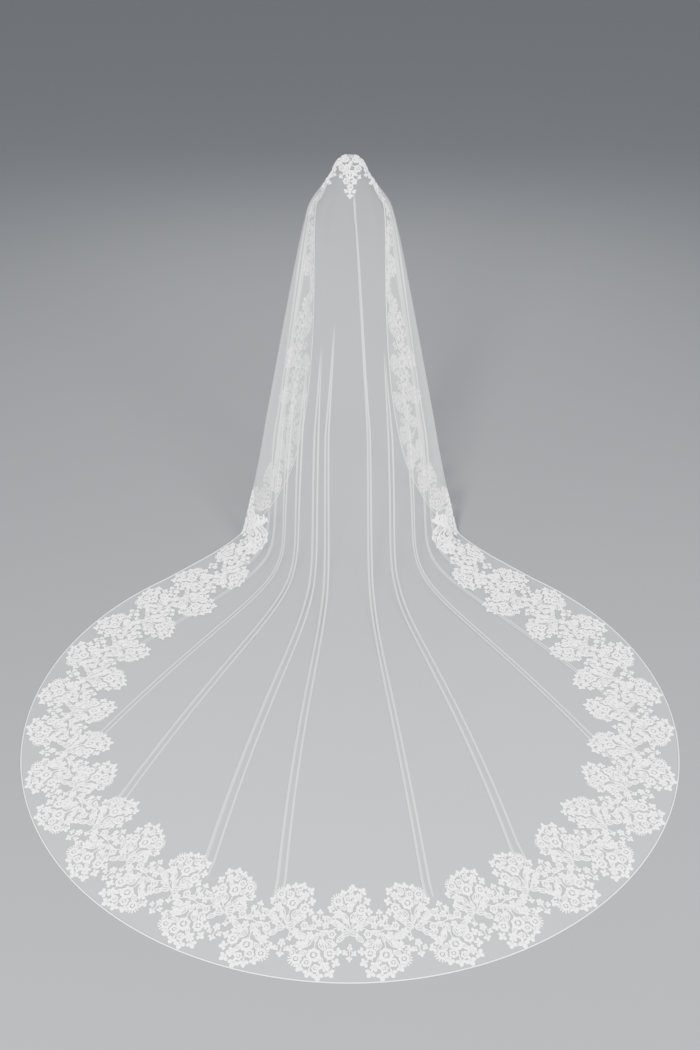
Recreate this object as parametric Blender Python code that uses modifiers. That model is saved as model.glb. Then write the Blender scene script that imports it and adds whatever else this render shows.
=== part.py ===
"""Cathedral-length mantilla bridal veil, standing in the shape that it has when worn.

One tulle panel hangs from the crown of the head over the shoulders. Its front edges fall
in front of the shoulders, and its back runs out over the floor as a round train. A lace
border with scalloped inner edges is sewn all round it, and comes to a point at the back
of the head. Metres, +Z up, wearer facing +Y, origin at the crown of the head.
"""
import math

import bmesh
import bpy
from mathutils import Vector

# ---- driving dimensions --------------------------------------------------------------
CROWN_HEIGHT = 1.72                 # crown of the wearer's head above the floor
FLOOR = -CROWN_HEIGHT
TULLE = 0.002                       # wall of the tulle panel
LACE = 0.002                        # wall of the lace border
GAP = 0.0003                        # between the tulle and the lace
JOIN = 0.0012                       # between two lengths of lace, along the tulle

TRAIN_LENGTH = 3.33                 # head axis to the end of the train, along the floor
TRAIN_HALF_WIDTH = 1.355
TRAIN_CENTRE = 2.13                 # head axis to the centre of the train's ellipse
ARC_END_X = 0.92                    # the ellipse gives way to the neck curve here

LACE_DEPTH = 0.36                   # hem to the tips of the inner lace fans
LACE_ROWS = (0.0, 0.10, 0.23, LACE_DEPTH)
HEM_COLUMNS = 56                    # columns from one side fold round the train to the other
FRONT_COLUMNS = 4                   # columns from a side fold to its front edge
FAN_POWER = 1.3                     # how the columns spread from the centre back to the side

# Neck of the train: the hem from the ellipse past the side fold to the front corner.
#             x      y      height
NECK_HEM = (
    (0.70, -1.025, 0.0),
    (0.57, -0.85, 0.003),           # the side fold meets the hem here
    (0.46, -0.66, 0.005),           # the front part stands on its folded edge
    (0.385, -0.42, 0.005),
    (0.335, -0.20, 0.02),
    (0.30, -0.08, 0.10),            # front corner, rounded up into the front edge
)
SIDE_FOLD_AT = 1                    # row of NECK_HEM at which the side fold ends

# Stations down the veil. Each gives a point on the centre back, on the side fold and on
# the front edge, as (x, y, z), and how round the veil is between back and side.
#    name        centre back            side fold                front edge            round
STATIONS = (
    ("edge",     (0, 0.078, -0.030),    (0.060, 0.070, -0.050),  (0.104, 0.071, -0.112),  0.0),
    ("crown",    (0, 0.000, 0.000),     (0.070, 0.012, -0.030),  (0.115, 0.061, -0.147),  0.5),
    ("head",     (0, -0.088, -0.052),   (0.092, -0.010, -0.072), (0.131, 0.066, -0.188),  1.0),
    ("nape",     (0, -0.120, -0.150),   (0.147, -0.020, -0.145), (0.154, 0.076, -0.232),  1.0),
    ("shoulder", (0, -0.145, -0.270),   (0.212, -0.035, -0.235), (0.178, 0.078, -0.275),  1.0),
    ("blade",    (0, -0.168, -0.420),   (0.250, -0.085, -0.380), (0.190, 0.075, -0.420),  0.8),
    ("waist",    (0, -0.225, -0.720),   (0.332, -0.280, -0.720), (0.198, 0.070, -0.720),  0.5),
    ("hip",      (0, -0.340, -1.020),   (0.403, -0.452, -1.020), (0.213, 0.055, -1.020),  0.3),
    ("knee",     (0, -0.530, -1.290),   (0.468, -0.612, -1.300), (0.236, 0.030, -1.270),  0.2),
    ("shin",     (0, -0.830, -1.510),   (0.522, -0.744, -1.530), (0.260, -0.010, -1.440), 0.1),
    ("hem fall", (0, -1.220, -1.665),   (0.552, -0.810, -1.640), (0.282, -0.044, -1.545), 0.1),
    ("rest",     (0, -1.600, FLOOR),    (0.564, -0.836, -1.695), (0.292, -0.064, -1.585), 0.2),
)
KNEE_AT = 8                         # row of STATIONS

# Rows between the edge and the knee, as station numbers.
FALL_ROWS = (0.0, 0.5, 1.0, 1.6, 2.3, 3.1, 4.0, 4.6, 5.3, 6.0, 6.7, 7.4, 8.0)
# Rows between the knee and the inside of the lace, as parts of that length.
SPREAD_ROWS = (0.10, 0.20, 0.32, 0.45, 0.70, 1.0)

# Pleats that run down the back and over the train, and run out at the lace. at is the part
# of the hem from the centre back to the side fold, minus on the left as seen from behind.
#    at     height  half width  first row  full row
PLEATS = (
    (-0.64, 0.018, 0.024, 15, 17),
    (-0.50, 0.022, 0.026, 3, 9),
    (-0.36, 0.020, 0.026, 3, 9),
    (-0.20, 0.018, 0.022, 3, 9),
    (-0.08, 0.022, 0.026, 3, 9),
    (0.08, 0.022, 0.028, 3, 9),
    (0.20, 0.018, 0.024, 3, 9),
    (0.34, 0.020, 0.026, 3, 9),
    (0.48, 0.022, 0.026, 3, 9),
    (0.61, 0.018, 0.024, 15, 17),
)

SAMPLES = 10                        # samples between two stations
EASE_PASSES = 6                     # passes that even out the columns above the floor

# Extent of the lace, in rows and columns of the panel.
CROWN_ROW = 2                       # the border over the head reaches down to this row
POINT_REACH = ((2, 14), (3, 8), (4, 3))     # row, columns each way: the point at the back
SIDE_SPRAY_COLUMNS = 8              # sprays from the front edges to the sides of the head
FRONT_LACE_START = 4                # the front borders start here
NARROW_LACE_END = 8                 # and are narrow down to here


# ---- curves --------------------------------------------------------------------------
def catmull_rom(points, samples):
    """A smooth polyline through points, with samples steps between each two."""
    padded = [points[0] * 2 - points[1]] + list(points) + [points[-1] * 2 - points[-2]]
    curve = []
    for i in range(1, len(padded) - 2):
        p0, p1, p2, p3 = padded[i - 1:i + 3]
        for k in range(samples):
            t = k / samples
            curve.append(0.5 * ((2 * p1) + (p2 - p0) * t + (2 * p0 - 5 * p1 + 4 * p2 - p3) * t * t
                                + (3 * p1 - p0 - 3 * p2 + p3) * t * t * t))
    curve.append(points[-1].copy())
    return curve


def lengths(curve):
    """Distance along a polyline at each of its points."""
    run = [0.0]
    for a, b in zip(curve, curve[1:]):
        run.append(run[-1] + (b - a).length)
    return run


def point_at(curve, run, distance):
    """The point of a polyline at a distance along it."""
    if distance <= 0:
        return curve[0].copy()
    for i in range(1, len(run)):
        if run[i] >= distance:
            t = (distance - run[i - 1]) / max(run[i] - run[i - 1], 1e-9)
            return curve[i - 1].lerp(curve[i], t)
    return curve[-1].copy()


def hem_curve():
    """Half of the hem, from the end of the train to the front corner, with the distance
    along it to the side fold."""
    depth = TRAIN_LENGTH - TRAIN_CENTRE
    end_angle = math.pi - math.asin(ARC_END_X / TRAIN_HALF_WIDTH)
    steps = 60
    arc = []
    for i in range(steps + 1):
        a = end_angle * i / steps
        arc.append(Vector((TRAIN_HALF_WIDTH * math.sin(a), -TRAIN_CENTRE - depth * math.cos(a), FLOOR)))
    neck = [arc[-1]] + [Vector((x, y, FLOOR + h)) for x, y, h in NECK_HEM]
    curve = arc[:-1] + catmull_rom(neck, SAMPLES)
    run = lengths(curve)
    fold_index = steps + SAMPLES * (SIDE_FOLD_AT + 1)
    return curve, run, run[fold_index]


HEM, HEM_RUN, HEM_TO_FOLD = hem_curve()


# ---- the veil's surface --------------------------------------------------------------
def mix(a, b, t):
    return a + (b - a) * t


def station_point(row, across):
    """A point on one station: across is 0 at the centre back, 1 at the side fold and 2 at
    the front edge."""
    _, back, side, front, roundness = row
    if across <= 1:
        turn = across * math.pi / 2
        along_x = mix(across, math.sin(turn), roundness)
        along_y = mix(across ** 1.5, 1 - math.cos(turn), roundness)
        return Vector((mix(back[0], side[0], along_x), mix(back[1], side[1], along_y),
                       mix(back[2], side[2], along_y)))
    return Vector(side).lerp(Vector(front), across - 1)


def hem_point(across):
    if across <= 1:
        return point_at(HEM, HEM_RUN, HEM_TO_FOLD * across ** FAN_POWER)
    return point_at(HEM, HEM_RUN, mix(HEM_TO_FOLD, HEM_RUN[-1], across - 1))


def profile(across):
    """The line down the veil at one place across it, and the distance along it."""
    stations = [station_point(row, across) for row in STATIONS] + [hem_point(across)]
    curve = catmull_rom(stations, SAMPLES)
    for point in curve:
        point.z = max(point.z, FLOOR)
    return curve, lengths(curve)


def row_distances(run):
    """Distances down a profile at which the rows lie."""
    knee = run[KNEE_AT * SAMPLES]
    inner = run[-1] - LACE_DEPTH
    rows = []
    for station in FALL_ROWS:
        whole = int(station * SAMPLES)
        rows.append(mix(run[whole], run[whole + 1], station * SAMPLES - whole))
    rows.extend(mix(knee, inner, part) for part in SPREAD_ROWS)
    rows.extend(run[-1] - d for d in reversed(LACE_ROWS[:-1]))
    return rows


def surface_point(across, row):
    curve, run = profile(abs(across))
    point = point_at(curve, run, row_distances(run)[row])
    if across < 0:
        point.x = -point.x
    return point


ROWS = len(FALL_ROWS) + len(SPREAD_ROWS) + len(LACE_ROWS) - 1
LACE_ROW = ROWS - len(LACE_ROWS)    # the row at the tips of the inner lace fans


def columns():
    """Places across the veil of all columns, from the left front edge to the right one."""
    half = HEM_COLUMNS // 2
    back = [math.copysign(abs(i / half) ** (1 / FAN_POWER), i) for i in range(-half, half + 1)]
    front = [1 + (i + 1) / FRONT_COLUMNS for i in range(FRONT_COLUMNS)]
    return [-a for a in reversed(front)] + back + front


def pleat_strength(row, first, full):
    """Part of its height that a pleat has on a row. It runs out at the inside of the lace."""
    if row >= LACE_ROW:
        return 0.0
    return min(max((row - first) / (full - first), 0.0), 1.0)


def ease_across(grid):
    """Evens out the columns between the side folds, where the fall meets the floor."""
    first, last = FRONT_COLUMNS, FRONT_COLUMNS + HEM_COLUMNS
    for _ in range(EASE_PASSES):
        for row in range(len(FALL_ROWS), LACE_ROW):
            line = [grid[c][row].copy() for c in range(first, last + 1)]
            for i in range(1, len(line) - 1):
                grid[first + i][row] = (line[i - 1] + line[i] * 2 + line[i + 1]) / 4


def panel_points():
    """Points of the tulle panel as a list of columns, with the pleats in it."""
    across = columns()
    grid = [[surface_point(a, row) for row in range(ROWS)] for a in across]
    ease_across(grid)
    smooth = [list(column) for column in grid]
    half = HEM_COLUMNS // 2
    centre = FRONT_COLUMNS + half
    for at, height, half_width, first, full in PLEATS:
        crest = centre + round(at * half)
        for row in range(ROWS):
            strength = pleat_strength(row, first, full)
            if strength == 0.0:
                continue
            middle = smooth[crest][row]
            down = smooth[crest][row + 1] - smooth[crest][row - 1]
            sideways = smooth[crest + 1][row] - smooth[crest - 1][row]
            out = down.cross(sideways).normalized()
            for side in (-1, 1):
                edge = smooth[crest + side][row] - middle
                reach = min(half_width / max(edge.length, 1e-6), 0.9)
                grid[crest + side][row] = middle + edge * mix(1.0, reach, strength)
            room = (grid[crest + 1][row] - grid[crest - 1][row]).length
            grid[crest][row] = middle + out * min(height, room / 3) * strength
    return grid


# ---- meshes --------------------------------------------------------------------------
def material(name, colour, roughness):
    result = bpy.data.materials.new(name)
    result.use_nodes = True
    shader = result.node_tree.nodes["Principled BSDF"]
    shader.inputs["Base Color"].default_value = (*colour, 1.0)
    shader.inputs["Roughness"].default_value = roughness
    shader.inputs["Metallic"].default_value = 0.0
    return result


def sheet_object(name, bm, thickness, finish, collection):
    """An object from an open surface, made a wall that grows outward."""
    mesh = bpy.data.meshes.new(name)
    bm.to_mesh(mesh)
    bm.free()
    mesh.materials.append(finish)
    mesh.shade_smooth()
    obj = bpy.data.objects.new(name, mesh)
    collection.objects.link(obj)
    wall = obj.modifiers.new("wall", 'SOLIDIFY')
    wall.thickness = thickness
    wall.offset = 1.0
    return obj


def cell_triangles(column, row):
    """The two triangles of a cell, as (column, row) corners. Their diagonals meet at the
    points whose column and row add up to an odd number, where the lace has its tips."""
    top_left = (column, row)
    bottom_left = (column, row + 1)
    bottom_right = (column + 1, row + 1)
    top_right = (column + 1, row)
    if (column + row) % 2:
        return [(top_left, bottom_left, bottom_right), (top_left, bottom_right, top_right)]
    return [(top_left, bottom_left, top_right), (bottom_left, bottom_right, top_right)]


def whole_cells(column_range, row_range):
    return [t for c in column_range for r in row_range for t in cell_triangles(c, r)]


def half_cells(column_range, row_range, side):
    """The triangles that hold one side of their cells, so that the far edge is scalloped.
    side is the pair of steps (column, row) from the cell's top left to that side's ends."""
    kept = []
    for c in column_range:
        for r in row_range:
            ends = {(c + step[0], r + step[1]) for step in side}
            kept.extend(t for t in cell_triangles(c, r) if ends <= set(t))
    return kept


BOTTOM = ((0, 1), (1, 1))
LEFT = ((0, 0), (0, 1))
RIGHT = ((1, 0), (1, 1))


def panel_mesh(grid):
    """The open surface of the whole panel, facing outward, and its normals."""
    bm = bmesh.new()
    verts = [[bm.verts.new(p) for p in column] for column in grid]
    for triangle in whole_cells(range(len(grid) - 1), range(ROWS - 1)):
        bm.faces.new([verts[c][r] for c, r in triangle])
    bm.normal_update()
    normals = [[v.normal.copy() for v in column] for column in verts]
    return bm, normals


def lace_mesh(grid, normals, triangles, seam):
    """A border piece over some triangles of the panel, moved out by the tulle and the gap.
    seam gives the step (column, row) along which a joined point draws back from the join."""
    def outside(column, row):
        return grid[column][row] + normals[column][row] * (TULLE + GAP)

    bm = bmesh.new()
    made = {}
    for triangle in triangles:
        corners = []
        for key in triangle:
            if key not in made:
                place = outside(*key)
                if key in seam:
                    inward = outside(key[0] + seam[key][0], key[1] + seam[key][1]) - place
                    place += inward.normalized() * JOIN
                made[key] = bm.verts.new(place)
            corners.append(made[key])
        bm.faces.new(corners)
    bm.normal_update()
    return bm


def front_lace(left):
    """Triangles of the border down one front edge, to the foot of the side fold."""
    last = FRONT_COLUMNS * 2 + HEM_COLUMNS
    narrow_rows = range(FRONT_LACE_START, NARROW_LACE_END)
    wide_rows = range(NARROW_LACE_END, LACE_ROW)
    foot_rows = range(LACE_ROW, ROWS - 1)
    if left:
        return (whole_cells(range(0, 1), narrow_rows) + half_cells([1], narrow_rows, LEFT)
                + whole_cells(range(0, 2), wide_rows) + half_cells([2], wide_rows, LEFT)
                + whole_cells(range(0, FRONT_COLUMNS), foot_rows))
    return (whole_cells(range(last - 1, last), narrow_rows)
            + half_cells([last - 2], narrow_rows, RIGHT)
            + whole_cells(range(last - 2, last), wide_rows)
            + half_cells([last - 3], wide_rows, RIGHT)
            + whole_cells(range(last - FRONT_COLUMNS, last), foot_rows))


def crown_lace():
    """Triangles of the border over the head, with its point and its side sprays."""
    last = FRONT_COLUMNS * 2 + HEM_COLUMNS
    centre = last // 2
    triangles = whole_cells(range(last), range(CROWN_ROW))
    for row, reach in POINT_REACH:
        triangles += whole_cells(range(centre - reach, centre + reach), [row])
    for row in range(CROWN_ROW, FRONT_LACE_START):
        triangles += whole_cells(range(SIDE_SPRAY_COLUMNS), [row])
        triangles += whole_cells(range(last - SIDE_SPRAY_COLUMNS, last), [row])
    return triangles


def train_lace():
    """Triangles of the border round the train, from one side fold to the other."""
    around = range(FRONT_COLUMNS, FRONT_COLUMNS + HEM_COLUMNS)
    return whole_cells(around, range(LACE_ROW + 1, ROWS - 1)) + half_cells(around, [LACE_ROW], BOTTOM)


def build():
    for obj in list(bpy.data.objects):
        bpy.data.objects.remove(obj, do_unlink=True)
    collection = bpy.data.collections.new("bridal_veil")
    bpy.context.scene.collection.children.link(collection)

    tulle_finish = material("tulle", (0.86, 0.86, 0.85), 0.6)
    lace_finish = material("lace", (0.93, 0.92, 0.89), 0.75)

    grid = panel_points()
    panel, normals = panel_mesh(grid)
    sheet_object("veil_tulle", panel, TULLE, tulle_finish, collection)

    last = FRONT_COLUMNS * 2 + HEM_COLUMNS
    sprays = [c for c in range(last + 1) if min(c, last - c) <= SIDE_SPRAY_COLUMNS]
    crown_seam = {(c, FRONT_LACE_START): (0, -1) for c in sprays}
    left_fold = {(FRONT_COLUMNS, r): (1, 0) for r in range(ROWS)}
    right_fold = {(last - FRONT_COLUMNS, r): (-1, 0) for r in range(ROWS)}
    pieces = (
        ("lace_crown", crown_lace(), crown_seam),
        ("lace_front_left", front_lace(True), {}),
        ("lace_front_right", front_lace(False), {}),
        ("lace_train", train_lace(), left_fold | right_fold),
    )
    for name, triangles, seam in pieces:
        sheet_object(name, lace_mesh(grid, normals, triangles, seam), LACE, lace_finish, collection)


build()
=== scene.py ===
"""Looks of a cathedral-length mantilla bridal veil: sheer tulle with pressed pleats and soft
folds, a rolled hem, and a corded floral lace border. Metres, +Z up, wearer facing +Y, origin
at the crown of the head."""

import math

import bpy
import numpy as np
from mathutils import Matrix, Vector


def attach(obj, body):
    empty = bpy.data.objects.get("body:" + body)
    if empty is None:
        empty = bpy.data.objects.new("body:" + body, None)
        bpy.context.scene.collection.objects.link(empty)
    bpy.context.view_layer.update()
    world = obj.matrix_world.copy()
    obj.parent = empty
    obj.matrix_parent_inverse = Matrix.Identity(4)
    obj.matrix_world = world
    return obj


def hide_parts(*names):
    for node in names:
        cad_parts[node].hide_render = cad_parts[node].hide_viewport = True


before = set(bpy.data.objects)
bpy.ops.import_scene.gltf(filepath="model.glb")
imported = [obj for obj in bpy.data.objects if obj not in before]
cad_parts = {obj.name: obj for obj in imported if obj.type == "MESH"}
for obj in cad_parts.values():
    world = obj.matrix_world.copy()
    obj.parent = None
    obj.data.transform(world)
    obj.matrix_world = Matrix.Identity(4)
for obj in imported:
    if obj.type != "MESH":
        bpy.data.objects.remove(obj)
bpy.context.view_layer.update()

# ---- sizes of the veil ---------------------------------------------------------------
FLOOR = -1.72
TRAIN_LENGTH = 3.33
TRAIN_HALF_WIDTH = 1.355
TRAIN_CENTRE = 2.13
ARC_END_X = 0.92
LACE_DEPTH = 0.36
FAN_POWER = 1.3                     # how the columns spread from the centre back to the side
FRONT_POWER = 1.3                   # how they spread from the side fold to the front edge
SAMPLES = 10                        # samples between two stations
ARC_STEPS = 60
SIDE_FOLD_AT = 1                    # row of NECK_HEM at which the side fold ends
SHOULDER_AT = 4                     # row of STATIONS
KNEE_AT = 8

# Neck of the train, from its ellipse past the side fold to the front corner.
#    x      y      height
NECK_HEM = (
    (0.70, -1.025, 0.0),
    (0.57, -0.85, 0.003),
    (0.46, -0.66, 0.005),
    (0.385, -0.42, 0.005),
    (0.335, -0.20, 0.02),
    (0.30, -0.08, 0.10),
)

# Stations down the veil: points on the centre back, the side fold and the front edge, and
# how round the veil is between back and side.
STATIONS = (
    ("edge",     (0, 0.078, -0.030),    (0.060, 0.070, -0.050),  (0.104, 0.071, -0.112),  0.0),
    ("crown",    (0, 0.000, 0.000),     (0.070, 0.012, -0.030),  (0.115, 0.061, -0.147),  0.5),
    ("head",     (0, -0.088, -0.052),   (0.092, -0.010, -0.072), (0.131, 0.066, -0.188),  1.0),
    ("nape",     (0, -0.120, -0.150),   (0.147, -0.020, -0.145), (0.154, 0.076, -0.232),  1.0),
    ("shoulder", (0, -0.145, -0.270),   (0.212, -0.035, -0.235), (0.178, 0.078, -0.275),  1.0),
    ("blade",    (0, -0.168, -0.420),   (0.250, -0.085, -0.380), (0.190, 0.075, -0.420),  0.8),
    ("waist",    (0, -0.225, -0.720),   (0.332, -0.280, -0.720), (0.198, 0.070, -0.720),  0.5),
    ("hip",      (0, -0.340, -1.020),   (0.403, -0.452, -1.020), (0.213, 0.055, -1.020),  0.3),
    ("knee",     (0, -0.530, -1.290),   (0.468, -0.612, -1.300), (0.236, 0.030, -1.270),  0.2),
    ("shin",     (0, -0.830, -1.510),   (0.522, -0.744, -1.530), (0.260, -0.010, -1.440), 0.1),
    ("hem fall", (0, -1.220, -1.665),   (0.552, -0.810, -1.640), (0.282, -0.044, -1.545), 0.1),
    ("rest",     (0, -1.600, FLOOR),    (0.564, -0.836, -1.695), (0.292, -0.064, -1.585), 0.2),
)

# Places down the veil are told in "levels": 0 to 8 are the stations from the edge to the
# knee, 8 to 9 runs on to the inside of the lace, and 9 to 10 to the hem. Places across it
# are told in "turns": 0 is the centre back, 1 and -1 the side folds, 2 and -2 the front edges.
LACE_LEVEL = 9.0
HALF_COLUMNS = 120
FRONT_COLUMNS = 24
SPREAD_STEPS = 60
LACE_STEPS = 20

# Smoothing of the panel. Each kind works fully between its middle two levels and fades out
# to its outer two.
EASE_PASSES = 110                   # evens out the columns between the knee and the lace
EASE_LEVELS = (8.0, 8.1, 8.7, 9.0)
LANDING_PASSES = 70                 # rounds the fall into the train
LANDING_LEVELS = (7.3, 8.0, 8.6, 9.0)
FOLD_PASSES = 8                     # rounds the side folds
FOLD_LEVELS = (0.0, 1.0, 8.8, 10.0)
FOLD_REACH = 10                     # columns on each side of a side fold

# Pressed pleats, with the cloth folded back on itself. The turns are those at the shoulder,
# the knee and the lace, the widths those at the top and at the lace, and the levels those
# where the pleat begins, is closed, opens again and has gone.
#    shoulder   knee    lace   top width  lace width  begins closed  opens  gone
PLEATS = (
    (-0.775,  -0.765, -0.650,  0.026,     0.040,      3.2,   4.2,    8.62,  8.90),
    (-0.690,  -0.690, -0.567,  0.002,     0.030,      6.8,   8.4,    9.00,  9.30),
    (-0.560,  -0.580, -0.433,  0.002,     0.036,      6.6,   8.2,    9.04,  9.34),
    (-0.400,  -0.430, -0.325,  0.002,     0.040,      6.4,   8.1,    9.04,  9.34),
    (-0.230,  -0.255, -0.172,  0.002,     0.044,      6.2,   8.0,    9.04,  9.34),
    (-0.060,  -0.155, -0.080,  0.002,     0.036,      5.8,   7.9,    9.06,  9.36),
    (0.035,   0.120,   0.088,  0.004,     0.032,      2.9,   3.5,    9.06,  9.36),
    (0.290,   0.325,   0.208,  0.002,     0.042,      6.3,   8.0,    9.04,  9.34),
    (0.500,   0.545,   0.417,  0.002,     0.034,      6.6,   8.2,    9.04,  9.34),
    (0.680,   0.710,   0.520,  0.002,     0.030,      6.9,   8.4,    8.96,  9.28),
    (0.785,   0.770,   0.660,  0.026,     0.038,      3.3,   4.3,    8.58,  8.88),
)
# Section of a pleat from its left to its right: place along it in widths, an extra in
# millimetres, and height in layers.
PLEAT_SECTION = (
    (-0.5, -12.0, 0.0), (-0.5, 0.0, 0.2), (-0.2, 0.0, 0.4), (-0.5, 0.0, 0.7),
    (-0.5, 9.0, 1.0), (-0.5, 0.0, 1.3), (-0.5, 9.0, 1.6), (-0.5, 0.0, 1.9),
    (-0.5, 9.0, 2.2), (-0.5, 0.0, 2.5), (-0.5, 4.5, 2.8), (0.0, 0.0, 3.0), (0.5, -4.5, 2.8),
    (0.5, 0.0, 2.4), (0.5, -8.0, 1.9), (0.5, 0.0, 1.4), (0.5, -8.0, 0.9), (0.5, 0.0, 0.4),
    (0.5, 12.0, 0.0),
)
PLEAT_LAYER = 0.0012
PLEAT_ROOM = 0.018                  # cloth that an open pleat takes besides its width
PLEAT_SHARE = 0.8                   # most of the way to its neighbour that it takes
PLAIN_SHARE = 0.8                   # columns in the plain cloth, as a share of the smooth panel's
PLEAT_WAIST = 0.55                  # least width at the knee, as a share of that at the lace
CREASE_FROM = 70                    # degrees; sharper folds are pressed creases

# Soft ridges and troughs in the cloth: turns at the top and bottom, levels at the top and
# bottom, height and width.
#    top     bottom  from   to    height   width
RIDGES = (
    (0.020,  0.012,  2.6,   6.2,  0.0060,  0.012),
    (0.075,  0.120,  2.8,   5.2,  0.0035,  0.010),
    (-0.160, -0.240, 2.4,   6.6,  0.0050,  0.020),
    (-0.420, -0.400, 2.8,   7.2,  0.0060,  0.024),
    (0.330,  0.300,  2.7,   6.9,  0.0060,  0.022),
    (0.520,  0.540,  3.0,   7.5,  0.0070,  0.024),
    (0.640,  0.560,  2.6,   4.2,  -0.0060, 0.014),
    (0.840,  0.700,  2.9,   4.0,  0.0060,  0.010),
    (-0.860, -0.700, 2.8,   4.4,  0.0050,  0.012),
    (-0.560, -0.560, 3.2,   8.3,  0.0070,  0.026),
    (-0.900, -0.880, 4.4,   8.6,  0.0080,  0.030),
    (0.905,  0.890,  4.2,   8.6,  0.0080,  0.028),
    (-0.270, -0.250, 6.4,   8.6,  -0.0060, 0.030),
    (0.150,  0.150,  6.6,   8.7,  0.0050,  0.030),
    (0.540,  0.500,  7.6,   8.8,  0.0050,  0.028),
    (-1.350, -1.300, 4.4,   9.6,  0.0100,  0.040),
    (1.330,  1.300,  4.6,   9.5,  0.0090,  0.044),
    (-1.680, -1.700, 5.2,   9.8,  -0.0080, 0.036),
    (1.700,  1.660,  5.0,   9.8,  -0.0090, 0.036),
)


# ---- curves --------------------------------------------------------------------------
def smooth_line(points, samples=SAMPLES):
    """A smooth line through points (..., n, 3), with samples steps between each two."""
    points = np.asarray(points, float)
    spans = points.shape[-2] - 1
    first = points[..., :1, :] * 2 - points[..., 1:2, :]
    last = points[..., -1:, :] * 2 - points[..., -2:-1, :]
    padded = np.concatenate([first, points, last], axis=-2)
    p0, p1, p2, p3 = (padded[..., i:i + spans, None, :] for i in range(4))
    t = (np.arange(samples) / samples)[:, None]
    curve = 0.5 * (2 * p1 + (p2 - p0) * t + (2 * p0 - 5 * p1 + 4 * p2 - p3) * t ** 2
                   + (3 * p1 - p0 - 3 * p2 + p3) * t ** 3)
    curve = curve.reshape(points.shape[:-2] + (spans * samples, 3))
    return np.concatenate([curve, points[..., -1:, :]], axis=-2)


def run_of(curve):
    """Distance along a line, or along each of several, at each of its points."""
    steps = np.linalg.norm(np.diff(curve, axis=-2), axis=-1)
    return np.concatenate([np.zeros(steps.shape[:-1] + (1,)), np.cumsum(steps, axis=-1)], axis=-1)


def along(curve, run, distance):
    """Points of a line at distances along it."""
    return np.stack([np.interp(distance, run, curve[:, k]) for k in range(3)], axis=-1)


def smoothstep(t):
    t = np.clip(t, 0, 1)
    return t * t * (3 - 2 * t)


def hem_line():
    """Half of the hem from the end of the train to the front corner, the distance along it,
    and that distance at the side fold."""
    depth = TRAIN_LENGTH - TRAIN_CENTRE
    end = math.pi - math.asin(ARC_END_X / TRAIN_HALF_WIDTH)
    a = np.linspace(0, end, ARC_STEPS + 1)
    arc = np.stack([TRAIN_HALF_WIDTH * np.sin(a), -TRAIN_CENTRE - depth * np.cos(a),
                    np.full(len(a), FLOOR)], -1)
    neck = np.concatenate([arc[-1:], np.array(NECK_HEM) + (0, 0, FLOOR)])
    curve = np.concatenate([arc[:-1], smooth_line(neck)])
    run = run_of(curve)
    return curve, run, run[ARC_STEPS + SAMPLES * (SIDE_FOLD_AT + 1)]


HEM, HEM_RUN, HEM_TO_FOLD = hem_line()


# ---- the smooth surface of the cloth ---------------------------------------------------
def station_points(across):
    """Points of every station at each place across: 0 centre back, 1 side, 2 front edge."""
    back, side, front = (np.array([row[k] for row in STATIONS], float) for k in (1, 2, 3))
    rounded = np.array([row[4] for row in STATIONS])
    inside = np.clip(across, 0, 1)[:, None]
    turn = inside * math.pi / 2
    along_x = inside * (1 - rounded) + np.sin(turn) * rounded
    along_y = inside ** 1.5 * (1 - rounded) + (1 - np.cos(turn)) * rounded
    points = back + (side - back) * np.stack([along_x, along_y, along_y], -1)
    return points + (front - side) * np.clip(across - 1, 0, 1)[:, None, None]


def half_grid():
    """The turns of one side's columns, the levels of the rows, and the points."""
    turns = np.concatenate([np.linspace(0, 1, HALF_COLUMNS + 1),
                            1 + (np.arange(1, FRONT_COLUMNS + 1) / FRONT_COLUMNS) ** FRONT_POWER])
    across = np.where(turns <= 1, turns ** (1 / FAN_POWER), turns)
    to_hem = np.where(turns <= 1, HEM_TO_FOLD * turns,
                      HEM_TO_FOLD + (HEM_RUN[-1] - HEM_TO_FOLD) * (turns - 1))
    hem = along(HEM, HEM_RUN, to_hem)
    lines = smooth_line(np.concatenate([station_points(across), hem[:, None]], axis=1))
    lines[..., 2] = np.maximum(lines[..., 2], FLOOR)
    fall = np.arange(KNEE_AT * SAMPLES + 1)
    spread = np.linspace(0, 1, SPREAD_STEPS + 1)[1:]
    lace = np.linspace(0, 1, LACE_STEPS + 1)[1:]
    points = []
    for line, run in zip(lines, run_of(lines)):
        knee, inner = run[KNEE_AT * SAMPLES], run[-1] - LACE_DEPTH
        points.append(along(line, run, np.concatenate(
            [run[fall], knee + (inner - knee) * spread, inner + LACE_DEPTH * lace])))
    levels = np.concatenate([fall / SAMPLES, KNEE_AT + spread, LACE_LEVEL + lace])
    return turns, levels, np.array(points)


def blur(points, first, last, passes, weight):
    """Smooths columns first to last of a grid across, row by row, by weight."""
    for _ in range(passes):
        part = points[first:last + 1]
        eased = part.copy()
        eased[1:-1] = (part[:-2] + 2 * part[1:-1] + part[2:]) / 4
        points[first:last + 1] = part + (eased - part) * weight[None, :, None]


def surface_normals(points):
    """Outward normals of a grid of columns by rows."""
    across = np.gradient(points, axis=0)
    down = np.gradient(points, axis=1)
    normals = np.cross(down, across)
    return normals / np.maximum(np.linalg.norm(normals, axis=-1, keepdims=True), 1e-12)


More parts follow.
